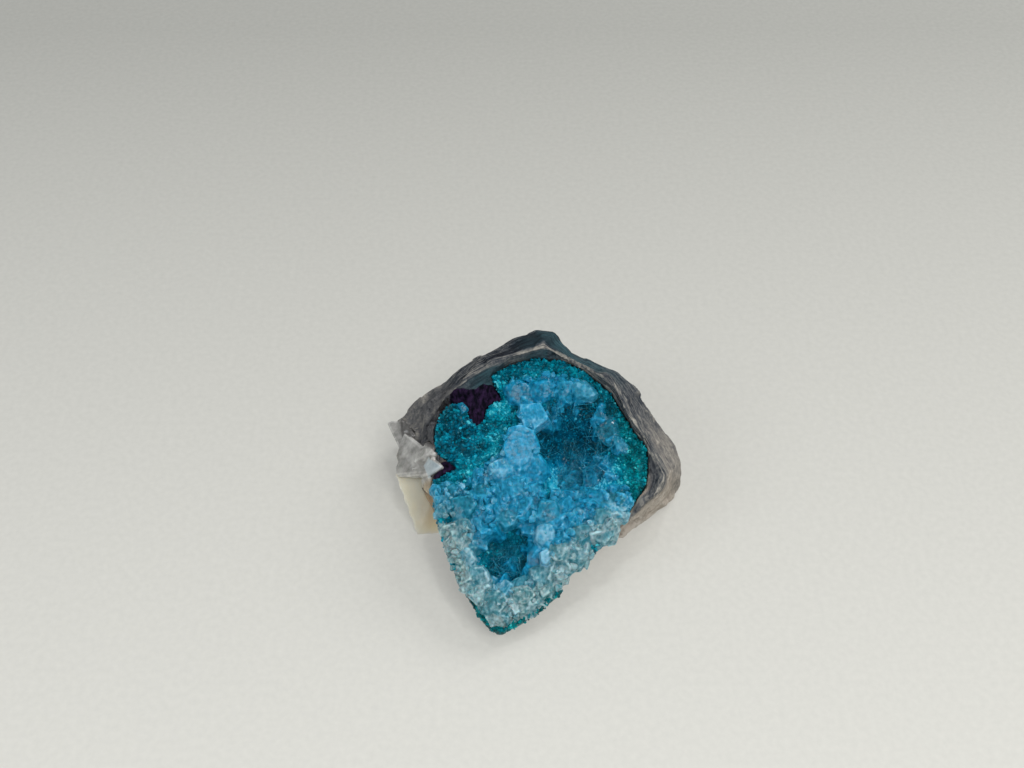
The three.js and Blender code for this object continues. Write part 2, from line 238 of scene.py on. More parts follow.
def painted(mesh, **layers):
    """Gives each vertex the values that the mesh's material reads, by their names."""
    for name, values in layers.items():
        kind, field = ("FLOAT", "value") if values.ndim == 1 else ("FLOAT_VECTOR", "vector")
        layer = mesh.attributes.new(name, kind, "POINT")
        layer.data.foreach_set(field, values.astype(np.float32).ravel())


def tree_over(*groups):
    """The surfaces of several groups of points and faces, ready to be searched."""
    joined = joined_mesh("searched", groups)
    return BVHTree.FromPolygons(
        [vertex.co for vertex in joined.vertices],
        [polygon.vertices for polygon in joined.polygons])


def gap_to(tree, points):
    """How far points lie from the surfaces of a tree."""
    return np.array([tree.find_nearest(Vector(point))[3] for point in points])


class Shade:
    """A socket of a material's nodes that can be used in sums."""

    def __init__(self, material, socket=None):
        self.material = material
        self.socket = socket

    def node(self, kind, settings=None, sockets=None, output=0):
        """Adds a node and gives back one of its outputs."""
        tree = self.material.node_tree
        made = tree.nodes.new(kind)
        for name, value in (settings or {}).items():
            if name != "stops":
                setattr(made, name, value)
                continue
            stops = made.color_ramp.elements
            while len(stops) < len(value):
                stops.new(0.5)
            for stop, (position, color) in zip(stops, value):
                stop.position = position
                stop.color = (*color, 1)
        for name, value in (sockets or {}).items():
            if isinstance(value, Shade):
                tree.links.new(value.socket, made.inputs[name])
            else:
                made.inputs[name].default_value = value
        return Shade(self.material, made.outputs[output] if made.outputs else None)

    def sum_of(self, operation, first, second):
        """What a Math node makes of two values."""
        return self.node("ShaderNodeMath", {"operation": operation}, {0: first, 1: second})

    def __add__(self, other):
        return self.sum_of("ADD", self, other)

    def __radd__(self, other):
        return self.sum_of("ADD", other, self)

    def __sub__(self, other):
        return self.sum_of("SUBTRACT", self, other)

    def __rsub__(self, other):
        return self.sum_of("SUBTRACT", other, self)

    def __mul__(self, other):
        return self.sum_of("MULTIPLY", self, other)

    def __rmul__(self, other):
        return self.sum_of("MULTIPLY", other, self)

    def between(self, low, high):
        """This value as 0 at low and 1 at high."""
        sockets = {"Value": self, "From Min": low, "From Max": high}
        return self.node("ShaderNodeMapRange", {"clamp": True}, sockets)

    def mixed(self, first, second):
        """Two colours mixed by this value."""
        settings = {"data_type": "RGBA", "clamp_factor": True}
        return self.node("ShaderNodeMix", settings, {0: self, 6: first, 7: second}, 2)

    def toned(self, *stops):
        """This value as a colour, from a scale of tones."""
        return self.node("ShaderNodeValToRGB", {"stops": stops}, {0: self})

    def surface(self, sockets):
        """A shader with the finish that its sockets give."""
        return self.node("ShaderNodeBsdfPrincipled", {}, sockets)

    def place(self):
        """The place on the piece."""
        return self.node("ShaderNodeTexCoord", output="Object")

    def value(self, name, output="Fac"):
        """What is painted on the mesh under a name."""
        return self.node("ShaderNodeAttribute", {"attribute_name": name}, output=output)

    def stretched(self, x, y, z):
        """This place with each of its directions scaled."""
        settings = {"operation": "MULTIPLY"}
        return self.node("ShaderNodeVectorMath", settings, {0: self, 1: (x, y, z)})

    def grains(self, scale, detail, rough):
        """Noise over this place, from 0 to 1."""
        sockets = {"Vector": self, "Scale": scale, "Detail": detail, "Roughness": rough}
        return self.node("ShaderNodeTexNoise", {}, sockets)

    def bumped(self, height, depth):
        """The surface's direction with a height laid on it, in metres."""
        sockets = {"Height": height, "Distance": depth, "Strength": 1}
        return self.node("ShaderNodeBump", {}, sockets)


def new_material(name):
    """An empty material, ready for its first nodes."""
    material = bpy.data.materials.new(name)
    material.use_nodes = True
    material.node_tree.nodes.clear()
    return Shade(material)


def placed(name, mesh, shader, node):
    """Gives a mesh its finish, and rides it on the part in place of its frame node."""
    shader.node("ShaderNodeOutputMaterial", {}, {"Surface": shader})
    mesh.materials.clear()
    mesh.materials.append(shader.material)
    piece = added(name, mesh)
    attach(piece, "root")
    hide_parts(node)


rock_mesh = evened_mesh("rock", [solid_of("host_rock")], ROCK_GRAIN)
rock_points = vertices_of(rock_mesh)[0]
mean_of = around(rock_mesh)
on_base = rock_points[:, 2] < 0.1 * MM
for _ in range(ROCK_ROUNDING):
    rock_points = np.where(on_base[:, None], rock_points, mean_of(rock_points))
moved(rock_mesh, rock_points)
rock_points, rock_normals = vertices_of(rock_mesh)
rock_face = face_coordinates(rock_points)
u, v, w = rock_face.T
inside, along = beside(CREST, rock_face[:, :2])
crest_along = beside(CREST, CREST)[1]
on_crest = smooth(along, crest_along[CREST_START] - 1 * MM, crest_along[CREST_START] + 2 * MM)
near_crest = on_crest * fading(-w, 4, 12)
streak_place = np.stack([along / 14, inside, rock_face[:, 2]], axis=1)

crystal_tree = tree_over(
    solid_of("dioptase_crust"), solid_of("pale_quartz_crystals"), solid_of("calcite_slab"))
bare = rising(gap_to(crystal_tree, rock_points), 0.35, 1.1)
off_base = rising(rock_points[:, 2], 0.1, 0.9)
outside = rising(-inside, -0.3, 1.2)
rock_lift = (
    LUMP_HEIGHT * drift(rock_points, LUMP_SIZE)
    + STREAK_HEIGHT * near_crest * ridges(streak_place, STREAK_SPACING, 2)
    + RIB_HEIGHT * ridges(rock_points, RIB_SPACING) + CREST_RISE * outside
)
rock_lift -= CREST_FALL * outside * fading(np.hypot(u - 9 * MM, v - 21 * MM), 2.5, 5.5)
low_side = rising(u, 4, 10) * rising(-v, -2, 3)
rock_lift += low_side * 0.15 * MM * drift(rock_points, 2.4 * MM)
rough_points = rock_points + rock_normals * (rock_lift * bare * off_base)[:, None]
chipped = rough_points.copy()
widths = np.interp(np.sort(draws.random(CHIPS) ** 2.2)[::-1], (0, 1), CHIP_WIDTH)
for width, seat in zip(widths, draws.choice(len(rock_points), CHIPS, replace=False)):
    slope = rock_normals[seat] + draws.normal(0, 0.1, 3)
    slope /= np.linalg.norm(slope)
    offset = chipped - chipped[seat]
    height = offset @ slope
    spread = np.maximum((offset**2).sum(axis=1) - height**2, 0) / width**2
    bowl = width * draws.uniform(*CHIP_HOLLOW) * (spread - 1)
    cut = np.clip(height - bowl, 0, CHIP_DEPTH) * smooth(rock_normals @ slope, 0.15, 0.6)
    chipped -= slope * np.where((spread < 1) & (np.abs(height) < CHIP_REACH), cut, 0)[:, None]
chipping = bare * off_base * (1 - 0.45 * near_crest)
rock_points = rough_points + (chipped - rough_points) * chipping[:, None]
rock_points = (rock_points + mean_of(rock_points)) / 2
rock_points[:, 2] = np.where(off_base == 0, 0, np.maximum(rock_points[:, 2], 0))
moved(rock_mesh, rock_points)
rock_mesh.set_sharp_from_angle(angle=ROCK_SHARP)
# The edge layer lightens the rock's convex edges in its material: a painted highlight.
painted(rock_mesh, edge=rising(bulge(rock_mesh, 2), 0.004, 0.03))

before_peak = 1 - smooth(along, crest_along[CREST_PEAK] - 1 * MM, crest_along[CREST_PEAK] + 1 * MM)
# Along the crest line the tone is darker: painted shade against the light that the crest catches from
# above.
crest_line = on_crest * fading(np.abs(inside + 0.8 * MM), 0.3, 1.2)
# The upper-left outer facet is darker, partly its own tone and partly painted shade on the side away
# from the light.
outer_facet = rising(-inside, 0.3, 1.5) * before_peak
# The ridge top is darker, partly its own tone and partly painted shade of the thick rock that no
# light shines through.
peak_dark = rising(-inside, 0.3, 1) * fading(-w, 2, 7)
peak_dark *= fading(np.hypot(u - 1.5 * MM, (v - 24.5 * MM) * 1.4), 3, 7)
dark_mass = rising(-u, 12.5, 14.5) * (1 - on_crest)
band = rising(inside, 0, 0.7) * fading(-w, 4, 7)
flank = rising(-inside, 0.4, 2.4) * (1 - before_peak)
lower_wall = rising(-w, 0.6, 2.6) * rising(u, 2, 9) * rising(-v, -3, 3)
# In the tone, the lower right flank is lighter: painted light shining through thin rock.
low_flank = flank * smooth(along, crest_along[CREST_PEAK] + 12 * MM, crest_along[-3])
high_flank = flank * (1 - smooth(along, crest_along[CREST_PEAK] + 6 * MM, crest_along[-5]))
# The rear is lighter in the tone: painted fill light for the back, which the lamps leave dark.
rear = rising(v, 22, 30)
near_top = fading(-w, 3, 9)
shade = 0.56 - 0.3 * outer_facet * near_top - 0.1 * dark_mass - 0.12 * crest_line
high_facet = high_flank * rising(u, 10, 13)
shade = shade - 0.3 * flank + 0.12 * high_facet + 0.3 * low_flank + 0.12 * rear - 0.58 * peak_dark
shade = shade * (1 - 0.6 * band) + 0.2 * band * rising(u, 14, 18)
# The lower wall is lighter: painted light from below, over its own browner colour.
shade = shade + (0.86 - shade) * lower_wall
rough_here = rising(within(ROUGH_PATCH, rock_face[:, :2]), -0.4, 0.4) * fading(-w, 3, 5)
shade = shade + (0.3 - shade) * rough_here
painted(rock_mesh, streaks=streak_place / MM, shade=shade, streaked=np.maximum(
    0.15 + 0.65 * near_crest * (1 - 0.7 * band) * (1 - 0.4 * rear) * (1 - 0.45 * flank)
    * (1 - 0.35 * low_flank) - 0.3 * lower_wall, 0))
painted(rock_mesh, blue=(
    band * (0.4 + 0.6 * before_peak) * fading(-u, 8, 14) * fading(u, 12, 16)
    + 0.3 * peak_dark + 0.95 * flank * near_top * fading(u, 9, 16) + 0.3 * high_facet))
violet = rising(within(VIOLET_PATCH, rock_face[:, :2]), -0.9, 0.7) * rising(inside, 0, 0.5)
notch = fading(np.hypot(u + 15 * MM, v + 0.2 * MM), 1.8, 3.2) * fading(-w, 6, 9)
from_tan = np.linalg.norm(rock_points - TAN_PATCH, axis=1)
painted(rock_mesh, violet=np.maximum(violet, notch), tan=fading(from_tan, 2.6, 3.8))
low_edge = (1 - bare) * rising(-v, -1, 5)
painted(rock_mesh, warm=np.clip(
    0.06 + 0.2 * low_flank + 0.5 * lower_wall + low_edge + 0.5 * notch - 0.15 * on_crest
    + 0.12 * rough_here, 0, 1))

rock = new_material("streaked_rock")
streaks = rock.value("streaks", "Vector")
rock_place = rock.place()
long_streaks = streaks.grains(1.2, 2, 0.5).between(0.3, 0.7)
fine_streaks = streaks.grains(2.4, 3, 0.6).between(0.43, 0.57)
clouds = rock_place.grains(110, 4, 0.6)
mottle = rock_place.grains(420, 6, 0.65).between(0.25, 0.75)
specks = rock_place.grains(1300, 5, 0.7).between(0.3, 0.7)
pits = rock_place.stretched(1.4, 1, 0.8).grains(1300, 3, 0.6).between(0.6, 0.7)
streaked = rock.value("streaked")
# The edge value below adds a painted highlight along convex edges.
shade_here = (
    rock.value("shade") + streaked * ((long_streaks - 0.5) * 0.16)
    + streaked * ((fine_streaks - 0.5) * 0.46) + (clouds - 0.5) * 0.4 + (mottle - 0.5) * 0.28
    + (specks - 0.5) * 0.34 - pits * 0.16 + rock.value("edge") * 0.1
)
greys = shade_here.toned(
    (0, (0.01, 0.012, 0.018)),
    (0.2, (0.042, 0.05, 0.062)),
    (0.42, (0.11, 0.115, 0.122)),
    (0.62, (0.22, 0.215, 0.2)),
    (0.82, (0.39, 0.37, 0.33)),
    (1, (0.66, 0.64, 0.6)),
)
browned = (rock.value("warm") * (clouds + mottle)).mixed(greys, (0.42, 0.34, 0.27, 1))
browned = (rock.value("tan") * (0.5 + mottle * 0.5)).mixed(browned, (0.5, 0.36, 0.22, 1))
blued = (rock.value("blue") * (0.4 + fine_streaks * 0.5)).mixed(browned, (0.045, 0.1, 0.12, 1))
violet_here = (rock.value("violet") + (mottle - 0.5) * 0.45).between(0.42, 0.55)
violet_fibres = rock_place.stretched(1.5, 0.6, 1).grains(1100, 4, 0.65)
matrix = violet_fibres.between(0.4, 0.66).mixed((0.002, 0.002, 0.006, 1), (0.034, 0.016, 0.052, 1))
rock_colour = violet_here.mixed(blued, matrix)
rock_bump = streaked * fine_streaks * 0.25 + mottle * 0.35 + specks * 0.45 - pits * 0.3
rock_shader = rock.surface({
    "Base Color": rock_colour,
    "Roughness": 0.7 + mottle * 0.2,
    "IOR": QUARTZ_IOR,
    "Specular IOR Level": 0.06,
    "Normal": rock.bumped(rock_bump, 0.3 * MM),
})
placed("rock", rock_mesh, rock_shader, "host_rock")

# ---- Dioptase crust ----
# The teal lining of the vug: short six-sided dioptase crystals, up to three quarters of a
# millimetre across, grown side by side on the rock at all angles, with nothing bare between.
CRUST_GRAIN = 0.52 * MM
DIOPTASE_SPACING = 0.4 * MM
DIOPTASE_RADIUS = (0.13 * MM, 0.36 * MM)
DIOPTASE_LENGTH = (0.26 * MM, 0.66 * MM)
DIOPTASE_SPREAD = 0.6
COVERED_SHARE = 0.5
EDGE_SPACING = 3
EDGE_LENGTH = 0.6
ROW_STEP = 0.87
FULL_TURN = 6.28
ABOVE_FACE = 12 * MM
FACE_LOW, FACE_HIGH = (-21 * MM, -31 * MM), (22 * MM, 25 * MM)
QUARTZ_EDGE = np.array([
    (-6, -25.6), (-3.5, -24.6), (0, -22.8), (3.2, -19.8), (4.2, -18.4), (7, -16.4), (9.8, -14.2),
    (12.8, -11.2), (15, -7), (15.6, -3.4), (13.4, -0.8), (14.4, 3), (13.4, 9), (11.2, 13.4),
    (7.5, 17), (3.5, 18.2), (-1, 18.2), (-4.4, 17.4), (-3.9, 14), (-3.6, 9.5), (-5.8, 4.5),
    (-8.6, 1.4), (-11.8, -1.1), (-17.2, -2.4), (-16.9, -5), (-15.4, -10.2), (-13.9, -15.2),
    (-11.9, -19.4), (-9.6, -23.4), (-6, -25.6),
]) * MM
CYAN_BAND = np.array([
    (-5.8, 15.8), (-4.4, 13.2), (-7.4, 11.8), (-6, 9.6), (-7, 6.9), (-6.2, 4.4), (-9, 2.2),
    (-12, 0.6),
]) * MM


def hollow(places, middle, half_width, half_length):
    """1 in the middle of an oval on the face, 0 past its edge."""
    reach = (places - np.array(middle) * MM) / (np.array((half_width, half_length)) * MM)
    return 1 - smooth(np.hypot(*reach.T), 0.35, 1)


def face_point(u, v, w):
    """The point of the row frame at u, v and w of the crystal face."""
    sine, cosine = math.sin(FACE_TILT), math.cos(FACE_TILT)
    return Vector((u, v * cosine - w * sine, FACE_HEIGHT + v * sine + w * cosine))


OUT_OF_FACE = face_point(0, 0, 1) - face_point(0, 0, 0)
FACE_NORMAL = np.array(OUT_OF_FACE)


def scattered(spacing):
    """Places in staggered rows over the face, each a little off its row."""
    low, high = FACE_LOW, FACE_HIGH
    rows = int((high[1] - low[1]) / (spacing * ROW_STEP))
    columns = int((high[0] - low[0]) / spacing)
    row, column = np.divmod(np.arange(rows * columns), columns)
    u = low[0] + (column + 0.5 * (row % 2)) * spacing
    v = low[1] + row * spacing * ROW_STEP
    return np.stack([u, v], axis=1) + draws.uniform(-0.35, 0.35, (len(u), 2)) * spacing


def grown_on(tree, places):
    """The points of a surface under places on the face, with its directions there."""
    kept, points, normals = [], [], []
    for index, (u, v) in enumerate(places):
        hit, normal, _, _ = tree.ray_cast(face_point(u, v, ABOVE_FACE), -OUT_OF_FACE)
        if hit is not None and normal.dot(OUT_OF_FACE) > 0.2:
            kept.append(index)
            points.append(hit)
            normals.append(normal)
    return np.array(kept), np.array(points), np.array(normals)


def turned_to(directions):
    """One rotation for each direction, which takes +Z to it after a drawn turn about +Z."""
    turns = draws.uniform(0, FULL_TURN, len(directions))
    directions = directions / np.linalg.norm(directions, axis=1)[:, None]
    helper = np.where(np.abs(directions[:, :1]) > 0.8, [[0.0, 1.0, 0.0]], [[1.0, 0.0, 0.0]])
    across = np.cross(helper, directions)
    across /= np.linalg.norm(across, axis=1)[:, None]
    up = np.cross(directions, across)
    cosine, sine = np.cos(turns)[:, None], np.sin(turns)[:, None]
    return np.stack([across * cosine + up * sine, up * cosine - across * sine, directions], axis=2)


def copies(template, positions, rotations, sizes):
    """Many copies of one closed form, as points and faces."""
    corners, faces = template
    placed_corners = np.einsum("nij,nkj->nki", rotations, corners[None] * sizes[:, None, :])
    points = (placed_corners + positions[:, None, :]).reshape(-1, 3)
    offsets = np.arange(len(positions)) * len(corners)
    return points, [tuple(int(i + offset) for i in face) for offset in offsets for face in faces]


def stubby_crystal():
    """A short six-sided prism under three sloping faces, one wide and one long."""
    angles = np.arange(6) * math.pi / 3
    ring = np.stack([np.cos(angles), np.sin(angles)], axis=1)
    foot = np.column_stack([ring, np.full(6, -0.6)])
    shoulder = np.column_stack([ring, np.where(np.arange(6) % 2, 0.36, 0.68)])
    corners = np.vstack([foot, shoulder, [[0, 0, 1]]])
    sides = [(k, (k + 1) % 6, 6 + (k + 1) % 6, 6 + k) for k in range(6)]
    caps = [(12, 6 + k, 7 + k, 6 + (k + 2) % 6) for k in (0, 2, 4)]
    return corners, [tuple(range(5, -1, -1)), *sides, *caps]


def in_hollows(places):
    """1 in the two hollows that only fine crystals line, 0 on the ridge and the rim."""
    return np.maximum(
        hollow(places, (6.8, 3.8), 10.2, 14), hollow(places, (-4.6, -14.6), 7.6, 7.6))


def crust_colour(places):
    """How light the dioptase is, and how blue, at places on the face."""
    cyan = fading(np.abs(beside(CYAN_BAND, places)[0]), 0.4, 2.2)
    deep = hollow(places, (5.5, 7.5), 8.5, 9.5)
    floor_blue = hollow(places, (7.5, -0.5), 9.5, 7)
    low_hollow = hollow(places, (-4.6, -14.5), 7.5, 6.5)
    lobe = hollow(places, (-12.4, 6), 5, 6)
    right = rising(places[:, 0], 12, 16)
    foot = rising(-places[:, 1], 14, 20) * (1 - low_hollow)
    upper = hollow(places, (5.5, 9.5), 7.5, 6.5)
    light = 0.42 + 0.3 * cyan - 0.2 * upper + 0.62 * floor_blue - 0.02 * lobe + 0.12 * right
    blue = 0.45 + 0.4 * deep + 0.5 * floor_blue - 0.3 * right + 0.1 * low_hollow - 0.45 * foot
    return light + 0.08 * low_hollow, blue + 0.15 * lobe


crust_mesh = evened_mesh("crust", [solid_of("dioptase_crust")], CRUST_GRAIN)
crust_points, crust_normals = vertices_of(crust_mesh)
crust_lift = 0.2 * MM + 0.14 * MM * drift(crust_points, 1.3 * MM)
on_side = np.abs(crust_normals @ FACE_NORMAL) < 0.55
edge_roots = crust_points[on_side][::EDGE_SPACING]
edge_outward = crust_normals[on_side][::EDGE_SPACING]
crust_points += crust_normals * crust_lift[:, None]

crust_tree = tree_over(solid_of("dioptase_crust"))
crust_places = scattered(DIOPTASE_SPACING)
covered = rising(within(QUARTZ_EDGE, crust_places), 0.5, 1.5) * (1 - in_hollows(crust_places))
crust_places = crust_places[draws.random(len(crust_places)) > COVERED_SHARE * covered]
top_roots, top_outward = grown_on(crust_tree, crust_places)[1:]
roots = np.vstack([top_roots, edge_roots])
outward = np.vstack([top_outward, edge_outward])
count = len(roots)
rotations = turned_to(outward + draws.normal(0, DIOPTASE_SPREAD, (count, 3)))
radii = np.interp(draws.random(count) ** 1.8, (0, 1), DIOPTASE_RADIUS)
lengths = draws.uniform(*DIOPTASE_LENGTH, count)
lengths[len(top_roots):] *= EDGE_LENGTH
fineness = 1 - 0.3 * in_hollows(face_coordinates(roots)[:, :2])
radii, lengths = radii * fineness, lengths * fineness
sizes = np.stack([radii, radii * draws.uniform(0.75, 1.1, count), lengths], axis=1)
stubby = stubby_crystal()
crystals = copies(stubby, roots + outward * 0.1 * MM, rotations, sizes)
dioptase_mesh = joined_mesh("dioptase", [(crust_points, faces_of(crust_mesh)), crystals])

base_light, base_blue = crust_colour(face_coordinates(crust_points)[:, :2])
crystal_light, crystal_blue = crust_colour(face_coordinates(roots)[:, :2])
# The drawn spread of lightness, and the few crystals lifted much lighter, are partly random tone and
# partly painted sparkle.
crystal_light = crystal_light + draws.normal(0, 0.13, count) + 0.4 * (draws.random(count) < 0.04)
crystal_blue = crystal_blue + draws.normal(0, 0.1, count)
per_crystal = len(stubby[0])
# The bare crust between the crystals is made 0.25 darker: painted shade in the gaps.
painted(
    dioptase_mesh,
    light=np.concatenate([base_light - 0.25, np.repeat(crystal_light, per_crystal)]),
    blue=np.concatenate([base_blue, np.repeat(crystal_blue, per_crystal)]))

dioptase = new_material("dioptase_crystal")
dioptase_place = dioptase.place()
cloud = dioptase_place.grains(260, 3, 0.6)
patches = dioptase_place.grains(120, 3, 0.55)
clots = dioptase_place.grains(620, 3, 0.6).between(0.3, 0.7)
light_here = (
    dioptase.value("light") + (cloud - 0.5) * 0.6 + (patches - 0.5) * 0.7 + (clots - 0.5) * 0.5)
teals = light_here.toned(
    (0, (0, 0.03, 0.034)),
    (0.3, (0, 0.1, 0.112)),
    (0.55, (0, 0.19, 0.21)),
    (0.8, (0.002, 0.35, 0.38)),
    (1, (0.08, 0.6, 0.62)),
)
blues = light_here.toned(
    (0, (0, 0.034, 0.065)),
    (0.3, (0, 0.11, 0.22)),
    (0.55, (0, 0.2, 0.37)),
    (0.8, (0.004, 0.33, 0.53)),
    (1, (0.12, 0.58, 0.76)),
)
dioptase_shader = dioptase.surface({
    "Base Color": dioptase.value("blue").mixed(teals, blues),
    "Roughness": 0.2 + cloud * 0.2,
    "IOR": 1.66,
    "Specular IOR Level": 0.16,
    "Specular Tint": (0.3, 0.85, 0.9, 1),
    "Normal": dioptase.bumped(dioptase_place.grains(3200, 2, 0.5), 0.05 * MM),
})
placed("dioptase", dioptase_mesh, dioptase_shader, "dioptase_crust")

# ---- Quartz druse ----
# The second growth in the vug: clear to milky quartz points, rooted in the dioptase and
# grown into each other, with fine needles across the two hollows.
BLOCKS = [  # outline in mm on the face, rise in mm, how pale, how green
    (((-2.7, 12.2), (0.8, 12.3), (2.3, 9.2), (-0.2, 7.1), (-2.1, 8.1), (-2.8, 10)), 2.4, 0.7, 0.05),
    (((-13.6, 12.5), (-12.4, 13), (-11.3, 11.7), (-12.4, 10.6)), 0.5, 0.38, 0.1),
    (((10.8, 10.5), (12.8, 11.8), (14.4, 9.1), (14, 5.5), (11.7, 5.9), (10.4, 8.2)), 0.9, 0.36, 0.4),
    (((12.7, 7), (14.4, 7.3), (16.4, 4.8), (15.6, 3.4), (13.6, 4.5)), 0.6, 0.56, 0.3),
    (((9.8, 4.5), (12.4, 3.5), (12.2, 2.4), (10.4, 3.4)), 1, 0.74, 0.2),
    (((6.2, 16.8), (8.6, 17), (10.6, 14.6), (9.4, 13), (6.8, 13.6)), 1.5, 0.66, 0.3),
    (((3.6, 16.9), (6, 16.9), (6.4, 14.4), (4.6, 13.4), (3.2, 14.6)), 1.3, 0.48, 0.1),
    (((-5.6, 15.6), (-2.6, 17), (-0.6, 15.6), (-1.4, 13), (-4.4, 12.6)), 1.3, 0.46, 0),
    (((-0.6, 16.6), (2.6, 17), (3.2, 14.6), (1.2, 12.9), (-1.2, 13.4)), 1.2, 0.44, 0),
    (((-4.7, 7.1), (-2.6, 7.8), (-0.3, 6.8), (0.5, 4.4), (-0.5, 1.9), (-2.6, 0.4), (-4.4, 0.9),
      (-5.6, 3.4)), 2.2, 0.6, 0),
    (((-7.9, 1.2), (-5.4, 2.4), (-3.8, 0.3), (-5.6, -1.6), (-7.7, -0.9)), 1.9, 0.76, 0.1),
    (((-2.4, 3), (0.6, 3.4), (2.4, 0.2), (0.2, -2.4), (-2.4, -1.4)), 1.9, 0.54, 0),
    (((-5.6, -0.6), (-2.2, -0.8), (-1.6, -3.8), (-4, -5.2), (-6.4, -3.6)), 1.4, 0.58, 0.1),
    (((-14.3, -4.7), (-10.9, -4.2), (-9.4, -5.9), (-10.8, -8.5), (-13.5, -8.5)), 2, 0.46, 0.4),
    (((-16, -2.6), (-13.6, -2), (-12.6, -3.6), (-14.2, -5), (-15.8, -4.6)), 1.1, 0.47, 0.4),
    (((-10.4, -2.4), (-8, -1.8), (-6.8, -3.6), (-8.6, -5), (-10.4, -4.4)), 1.2, 0.42, 0.3),
    (((-6, -6.3), (-3.5, -6.3), (-2.8, -8.6), (-5, -10.2), (-6.9, -8.3)), 1.6, 0.52, 0.3),
    (((0.4, -5.2), (3.2, -5), (4, -8.2), (1.8, -10), (-0.4, -8.4)), 1.7, 0.47, 0.2),
    (((0, -9.6), (2.6, -9.2), (3.4, -12), (1.4, -13.4), (-0.4, -12)), 1.8, 0.76, 0.2),
    (((-14.1, -10.2), (-12.2, -9.8), (-10.9, -12.4), (-12.2, -14.4), (-13.2, -13.2)), 1.5, 0.86, 0.8),
    (((-12.5, -13.3), (-10.9, -12.8), (-9.6, -14.9), (-10.9, -17.1), (-12, -15.8)), 1.9, 0.82, 0.6),
    (((-11.6, -16.6), (-8.6, -15.8), (-7.2, -18.2), (-9, -20.8), (-11.2, -19.6)), 1.6, 0.76, 0.7),
    (((-9.6, -20.6), (-6, -19.8), (-4, -21.8), (-5.8, -24.2), (-8.8, -23.6)), 1.7, 0.74, 0.8),
    (((-7.4, -23.8), (-5.6, -23.4), (-4, -24.2), (-5, -25.6), (-6.6, -25.4)), 1.3, 0.95, 0.9),
    (((-4, -22.6), (-2.2, -21.8), (-0.8, -22.6), (-2, -23.8), (-3.6, -23.8)), 1.1, 0.78, 0.9),
    (((0.2, -19.8), (2, -18.6), (3, -19), (2.2, -20.6), (0.8, -21.4)), 1.2, 0.74, 0.9),
    (((-4.4, -19.6), (-1.4, -19), (0, -20.8), (-1.6, -22.6), (-3.6, -22.2)), 1.6, 0.76, 0.9),
    (((-1.2, -16.4), (1.4, -15.4), (2.8, -17.2), (1.6, -19.4), (-0.8, -18.6)), 1.5, 0.68, 0.7),
    (((1.8, -12.6), (4.6, -12), (5.8, -13.8), (3.8, -15.6), (1.8, -15)), 1.8, 0.82, 0.8),
    (((5.4, -9.6), (8.2, -9), (9.2, -11.4), (7.4, -12.8), (5.2, -11.8)), 1.6, 0.56, 0.7),
    (((9.4, -6.6), (12, -6.2), (12.8, -8.2), (11.2, -10), (9.2, -9.2)), 1.5, 0.56, 0.7),
    (((5.8, -13.4), (8.2, -12.8), (9.2, -14), (7.6, -15.4), (5.8, -15)), 1.3, 0.8, 0.8),
    (((9.6, -10.4), (11.8, -9.6), (12.6, -11), (11, -12.6), (9.4, -12)), 1.2, 0.7, 0.8),
    (((12, -3.2), (14.2, -2.6), (14.8, -4.8), (13.2, -6.4), (11.6, -5.4)), 1.3, 0.52, 0.6),
    (((4, 1.6), (7, 2.2), (8.4, -0.4), (6.4, -2.6), (3.8, -1.4)), 0.7, 0.5, 0),
    (((8, 2.4), (11, 2), (12.4, -0.6), (10.4, -2.2), (8.2, -1)), 0.6, 0.48, 0),
    (((4, -2.4), (6.6, -2.8), (7.2, -5.2), (5, -6.2), (3.2, -4.6)), 0.8, 0.5, 0),
    (((7.4, -1.8), (10, -2.6), (10.6, -4.8), (8.6, -5.8), (7, -4.4)), 0.8, 0.5, 0.05),
    (((5, 5), (7.6, 5.4), (9, 3), (6.8, 1.8), (4.8, 2.8)), 0.4, 0.46, 0),
    (((0.4, -14), (1.6, -13.4), (2.2, -14.6), (1.7, -16), (0.7, -15.9)), 2.4, 0.98, 0.2),
]
MEDIUM_SPACING = 1.9 * MM
SMALL_SPACING = 1 * MM
MEDIUM_RADIUS = (1 * MM, 1.9 * MM)
SMALL_RADIUS = (0.3 * MM, 0.6 * MM)
QUARTZ_SPREAD = 0.5
COMPANIONS = 2
QUARTZ_GRAIN = 0.22 * MM
QUARTZ_ROUNDING = 2
QUARTZ_SHARP = math.radians(34)
SMOOTH_BLOCK = 2.2
POINT_FORMS = 9
NEEDLES = (900, 350)
NEEDLE_LEAN = 0.22
NEEDLE_THICKNESS = (0.03 * MM, 0.08 * MM)
NEEDLE_LENGTH = (1 * MM, 3.4 * MM)
RIM_UNDERSIDE = -1.8 * MM
POINT_SLOPE = math.radians(51.8)
CREVICE = np.array([(4.2, 9.4), (3.6, 5.2), (2.7, 1.4), (2.9, -2), (1.2, -5.6)]) * MM


def hull_of(places):
    """The smallest closed form around some points, as points and faces."""
    form = bmesh.new()
    for place in places:
        form.verts.new(place)
    bmesh.ops.remove_doubles(form, verts=form.verts, dist=1e-6)
    bmesh.ops.convex_hull(form, input=form.verts)
    bmesh.ops.dissolve_limit(form, angle_limit=0.03, verts=form.verts, edges=form.edges)
    form.verts.index_update()
    corners = np.array([vertex.co[:] for vertex in form.verts])
    faces = [tuple(vertex.index for vertex in face.verts) for face in form.faces]
    form.free()
    return corners, faces


